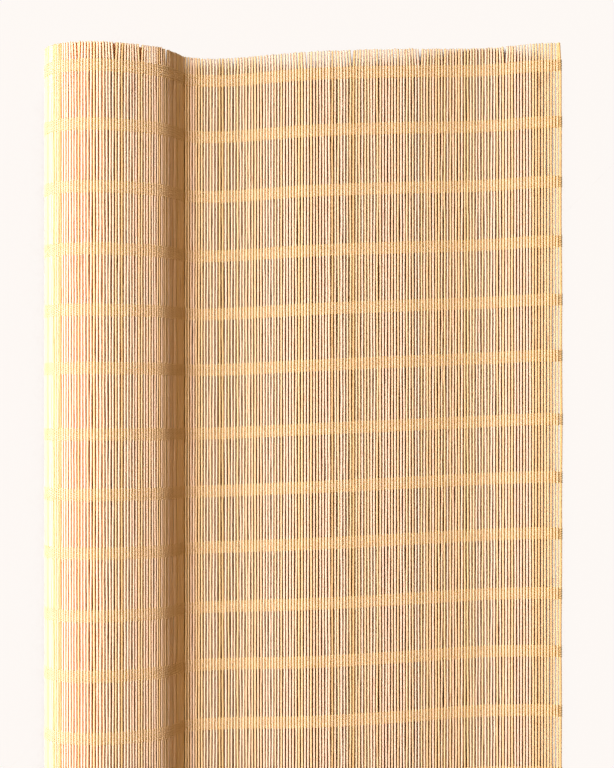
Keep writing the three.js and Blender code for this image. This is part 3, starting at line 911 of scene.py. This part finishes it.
@dataclass
class EndFitting:
    """The plug at one end of the tube and the pin or spindle that stands out of it."""

    side: Side
    nylon: bpy.types.Material
    steel: bpy.types.Material
    sides: int = 64
    tube_radius: float = 20 * MM
    plug_radius: float = 18.2 * MM
    spindle_radius: float = 3.5 * MM
    pin_radius: float = 3 * MM
    collar_radius: float = 6.2 * MM
    collar_length: float = 2.5 * MM
    tail_radius: float = 2.5 * MM
    tail_length: float = 5 * MM
    chamfer: float = 0.8 * MM
    centre_mark: float = 0.4 * MM  # a turned end is left open this far from the axis, and one small face closes it
    play: float = 0.3 * MM
    throat_depth: float = 6 * MM
    flange: float = 2 * MM
    ease: float = 0.5 * MM
    spring_turns: int = 5
    spring_stations: int = 28
    spring_sides: int = 10
    wire_radius: float = 0.6 * MM
    spade: tuple[float, float] = (2.4 * MM, 6 * MM)
    spade_bevel: float = 0.35 * MM

    def turned(self, name: str, profile: Sequence[tuple[float, float]], closed: bool, centre: np.ndarray,
               material: bpy.types.Material) -> bpy.types.Object:
        """Turns a profile round the tube's axis.

        Args:
            name: The piece's name.
            profile: Its corners, as radius and place along the axis.
            closed: Whether it has a bore.
            centre: A point on the axis.
            material: Its material.

        Returns:
            The piece.
        """
        rounded = eased(profile, self.ease, closed)
        rings = len(rounded)
        points = ring_points(rounded[:, 0], rounded[:, 1], centre, self.sides)
        faces = tube_faces(rings, self.sides)
        if closed:
            side = np.arange(self.sides)
            after = (side + 1) % self.sides
            last = (rings - 1) * self.sides
            faces = [faces[0], (np.stack([last + side, last + after, after, side], axis=1), True)]
        draft = MeshDraft()
        draft.add(points, faces)
        made = draft.build(name, material)
        made.data.set_sharp_from_angle(angle=math.radians(50))
        return made

    def place(self, piece: bpy.types.Object, node: str, body: str, slot: str) -> None:
        """Puts a piece in a node's stead.

        Args:
            piece: The piece.
            node: The CAD node that it stands for.
            body: The body that it rides on.
            slot: Not used.
        """
        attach(piece, body)
        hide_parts(node)
        log.info("%s stands for %s", piece.name, node)

    def build(self) -> None:
        """Builds the plug and what stands out of it."""
        idler = self.side is Side.IDLER
        node = "idler_end_plug" if idler else "spring_end_plug"
        low, high = (np.array(corner, float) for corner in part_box(node))
        centre = (low + high) / 2
        face, inner = (high[1], low[1]) if idler else (low[1], high[1])
        step = face - self.side.value * self.flange
        bore = (self.pin_radius if idler else self.spindle_radius) + self.play
        profile = [(bore, face), (self.tube_radius, face), (self.tube_radius, step), (self.plug_radius, step),
                   (self.plug_radius, inner)]
        if idler:
            chamber, throat = self.collar_radius + self.play, face - self.throat_depth
            profile += [(chamber, inner), (chamber, throat), (bore, throat)]
        else:
            profile += [(bore, inner)]
        self.place(self.turned(node + "_moulding", profile, True, centre, self.nylon), node, "roll", "nylon")
        if idler:
            self.build_pin(centre)
            self.build_spring(centre)
        else:
            self.build_spindle(centre, face)

    def build_pin(self, centre: np.ndarray) -> None:
        """Builds the sprung pin.

        Args:
            centre: A point on its axis.
        """
        low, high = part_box("idler_pin")
        tip, tail = high[1], low[1]
        collar = tail + self.tail_length
        shoulder = collar + self.collar_length
        profile = [(self.centre_mark, tail), (self.tail_radius, tail), (self.tail_radius, collar),
                   (self.collar_radius, collar), (self.collar_radius, shoulder), (self.pin_radius, shoulder),
                   (self.pin_radius, tip - self.chamfer), (self.pin_radius - self.chamfer, tip),
                   (self.centre_mark, tip)]
        pin = self.turned("idler_pin_turning", profile, False, centre, self.steel)
        self.place(pin, "idler_pin", "idler_pin", "steel")

    def build_spring(self, centre: np.ndarray) -> None:
        """Builds the pin's spring as a fixed coil; the real one shortens as the pin goes in.

        Args:
            centre: A point on its axis.
        """
        low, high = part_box("idler_spring")
        wire = self.wire_radius
        angle = np.linspace(0, 2 * math.pi * self.spring_turns, self.spring_stations * self.spring_turns + 1)
        outward = np.stack([np.cos(angle), np.zeros(len(angle)), np.sin(angle)], axis=1)
        path = np.array([centre[0], 0, centre[2]]) + outward * ((high[0] - low[0]) / 2 - wire)
        path[:, 1] = np.linspace(low[1] + wire, high[1] - wire, len(angle))
        turn = np.arange(self.spring_sides) * 2 * math.pi / self.spring_sides
        ring = np.cos(turn)[None, :, None] * outward[:, None, :]
        ring = ring + np.sin(turn)[None, :, None] * np.array([0.0, 1.0, 0.0])
        draft = MeshDraft()
        draft.add((path[:, None, :] + wire * ring).reshape(-1, 3), tube_faces(len(angle), len(turn)))
        coil = draft.build("idler_spring_coil", self.steel)
        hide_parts("idler_spring")
        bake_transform(coil)
        log.info("%s stands for idler_spring", coil.name)

    def build_spindle(self, centre: np.ndarray, face: float) -> None:
        """Builds the spindle with its flat spade.

        Args:
            centre: A point on its axis.
            face: Where the plug's outer face is along the axis.
        """
        low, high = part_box("spindle")
        profile = [(self.centre_mark, face), (self.spindle_radius, face), (self.spindle_radius, high[1]),
                   (self.centre_mark, high[1])]
        rod = self.turned("spindle_turning", profile, False, centre, self.steel)
        self.place(rod, "spindle", "spindle", "steel")
        half = np.array([self.spade[0] / 2, (face + self.flange - low[1]) / 2, self.spade[1] / 2])
        middle = np.array([centre[0], (face + self.flange + low[1]) / 2, centre[2]])
        signs = np.array([[x, y, z] for x in (-1, 1) for y in (-1, 1) for z in (-1, 1)], float)
        quads = np.array([[0, 1, 3, 2], [4, 6, 7, 5], [0, 4, 5, 1], [2, 3, 7, 6], [0, 2, 6, 4], [1, 5, 7, 3]])
        draft = MeshDraft()
        draft.add(middle + signs * half, [(quads, True)])
        blade = draft.build("spindle_spade", self.steel)
        bevel = blade.modifiers.new("bevel", "BEVEL")
        bevel.width, bevel.segments, bevel.harden_normals = self.spade_bevel, 3, True
        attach(blade, "spindle")


@dataclass
class Mechanism:
    """The tube and the spring motor and idler pieces inside it, which keep their own shapes and get their finishes.
    A node's finish is the first whose key is in the node's name."""

    finishes: dict[str, bpy.types.Material]

    def dress(self) -> None:
        """Gives every shown CAD node its finish."""
        for name, node in frame["nodes"].items():
            if node.hide_render:
                continue
            finish = next(made for key, made in self.finishes.items() if key in name)
            if not node.material_slots:
                node.data.materials.append(finish)
            for place in node.material_slots:
                place.material = finish
            log.info("%s is %s", name, finish.name)


@dataclass(frozen=True)
class SoftBox:
    """A rectangular studio light aimed at the blind."""

    name: str
    place: tuple[float, float, float]
    size: tuple[float, float]
    power: float
    colour: str

    def build(self) -> None:
        """Makes the light."""
        data = bpy.data.lights.new(self.name, "AREA")
        data.shape, data.size, data.size_y = "RECTANGLE", self.size[0], self.size[1]
        data.energy, data.color = self.power, linear(self.colour)[:3]
        lamp = bpy.data.objects.new(self.name, data)
        lamp.location = self.place
        lamp.rotation_euler = (-lamp.location).to_track_quat("-Z", "Y").to_euler()
        bpy.context.scene.collection.objects.link(lamp)


@dataclass(frozen=True)
class Surroundings:
    """The studio's walls and ceiling. They throw warm light down from above, and are as pale as the board low down,
    where its far edge meets them."""

    sky: str = "#ffc02c"
    haze: str = "#fef8f6"
    haze_strength: float = 0.98
    haze_top: tuple[float, float] = (0.03, 0.12)
    sky_rise: tuple[float, float] = (0.2, 1.0)
    sky_strength: tuple[float, float] = (0.1, 0.42)

    def build(self) -> None:
        """Makes the world."""
        world = bpy.data.worlds.new("studio")
        world.use_nodes = True
        tree = world.node_tree
        tree.nodes.clear()
        view = add_node(tree, "TexCoord").outputs["Generated"]
        height = add_node(tree, "SeparateXYZ", {"Vector": view}).outputs[2]
        strength = add_node(tree, "MapRange", {
            "Value": height, "From Min": self.sky_rise[0], "From Max": self.sky_rise[1],
            "To Min": self.sky_strength[0], "To Max": self.sky_strength[1],
        }).outputs[0]
        clear = add_node(tree, "MapRange", {
            "Value": height, "From Min": self.haze_top[0], "From Max": self.haze_top[1],
        }).outputs[0]
        sky = add_node(tree, "Background", {"Color": linear(self.sky), "Strength": strength})
        haze = add_node(tree, "Background", {"Color": linear(self.haze), "Strength": self.haze_strength})
        both = add_node(tree, "MixShader", {0: clear, 1: haze.outputs[0], 2: sky.outputs[0]})
        add_node(tree, "OutputWorld", {"Surface": both.outputs[0]})
        bpy.context.scene.world = world


@dataclass
class Studio:
    """A pale board under the blind, soft lights above and to the left, and the camera straight above."""

    camera_height: float = 1.405
    camera_x: float = 0.0008
    camera_y: float = 0.039
    lens: float = 90.24
    sensor: float = 36.0
    shift: float = 0.0445
    gamma: float = 0.85
    board_size: float = 60.0
    board_top: float = -0.45 * MM  # just under the lowest reeds, which bow a little below the CAD part's base
    lights: tuple[SoftBox, ...] = (
        SoftBox("key", (-1.0, 0.2, 2.12), (1.0, 0.7), 66.0, "#fff9ff"),
        SoftBox("side", (-2.05, 0.0, 0.85), (0.5, 1.5), 18.0, "#ffecff"),
    )

    def build(self, board: bpy.types.Material) -> None:
        """Builds the board, the lights, the surroundings and the camera.

        Args:
            board: The board's finish.
        """
        half = self.board_size / 2
        corners = np.array([[-half, -half, 0], [half, -half, 0], [half, half, 0], [-half, half, 0]], float)
        corners[:, 2] = self.board_top
        draft = MeshDraft()
        draft.add(corners, [(np.array([[0, 1, 2, 3]]), False)])
        draft.build("floor", board)
        for light in self.lights:
            light.build()
        Surroundings().build()
        data = bpy.data.cameras.new("camera")
        data.lens, data.sensor_width, data.shift_y = self.lens, self.sensor, self.shift
        camera = bpy.data.objects.new("camera", data)
        camera.location = (self.camera_x, self.camera_y, self.camera_height)
        bpy.context.scene.collection.objects.link(camera)
        bpy.context.scene.camera = camera
        bpy.context.scene.view_settings.view_transform = "Standard"
        bpy.context.scene.view_settings.gamma = self.gamma


def main() -> None:
    """Builds the blind piece by piece, then the studio."""
    logging.basicConfig(level=logging.INFO, format="%(name)s: %(message)s")
    reed, cotton = SplitReed().build(), SpunCotton().build()
    line = SheetLine.from_frame()
    cloth = Cloth(line, reed, cotton)
    cloth.build_wound()
    cloth.build_free()
    # the end stick's reed; its side colour is painted shade down its flanks
    honey = SplitReed("honey_reed", pale="#f0d6a4", straw="#e8c88c", tan="#cca25c", brown="#8a5522", side="#7e4a18")
    EndStick(honey.build(), SpunCotton("weathered_cotton", crest="#c4b080", valley="#94844c").build()).build()
    nylon = MouldedNylon().build()
    steel = BareMetal("zinc_plated_steel", "#b9bcc0", "#9da1a6", 0.34, 0.6).build()
    for side in Side:
        EndFitting(side, nylon, steel).build()
    zinc = BareMetal("die_cast_zinc", "#a8abad", "#8f9396", 0.5, 0.9).build()
    aluminium = BareMetal("drawn_aluminium", "#c6c9cc", "#aeb2b6", 0.32, 0.5, (1.0, 0.02, 1.0)).build()
    Mechanism({
        "tube": aluminium, "hub": zinc, "pawl_pin": steel, "pawl": zinc, "collar": zinc, "retainer": zinc,
        "anchor": nylon, "bearing": nylon, "spring": steel,
    }).dress()
    Studio().build(FloorBoard().build())


if __name__ == "__main__":
    main()
